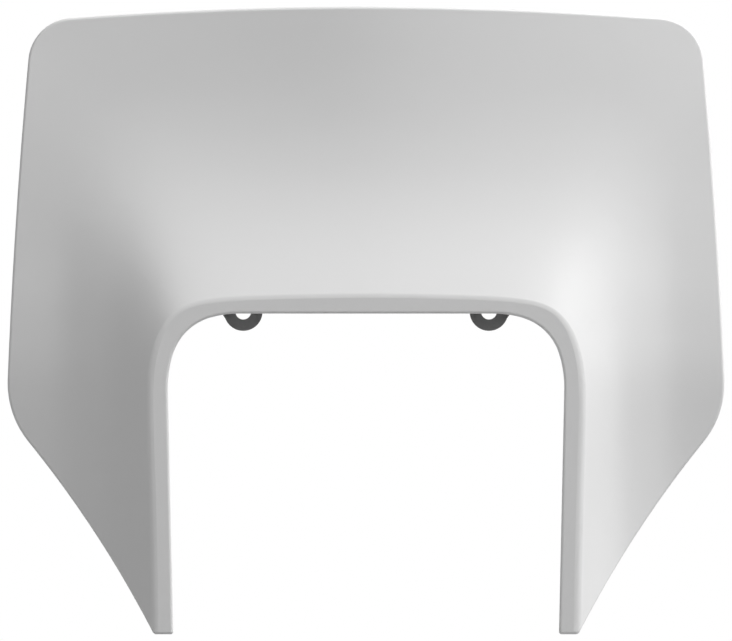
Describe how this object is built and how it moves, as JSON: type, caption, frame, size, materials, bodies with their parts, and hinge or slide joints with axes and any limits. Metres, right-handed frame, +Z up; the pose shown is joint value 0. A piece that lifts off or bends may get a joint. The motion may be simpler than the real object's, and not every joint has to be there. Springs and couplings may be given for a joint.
{
  "type": "motorcycle headlight mask",
  "caption": "Off-road motorcycle front mask: a thin moulded shell with a plate, a raised hood round an opening for the headlight, and eyelets for its screws.",
  "frame": {"origin": "midway between the screw holes of the two headlight lugs, in the middle of the lugs' thickness", "axes": "+Z up, -Y out of the front of the mask, +X to the right as seen from the front"},
  "size_m": [0.287, 0.045, 0.2509],
  "materials": {
    "shell_plastic": "satin moulded",
    "lug_plastic": "matte moulded"
  },
  "bodies": {
    "root": {"mask_shell": "shell_plastic", "headlight_lug_left": "lug_plastic", "headlight_lug_right": "lug_plastic"}
  },
  "joints": []
}
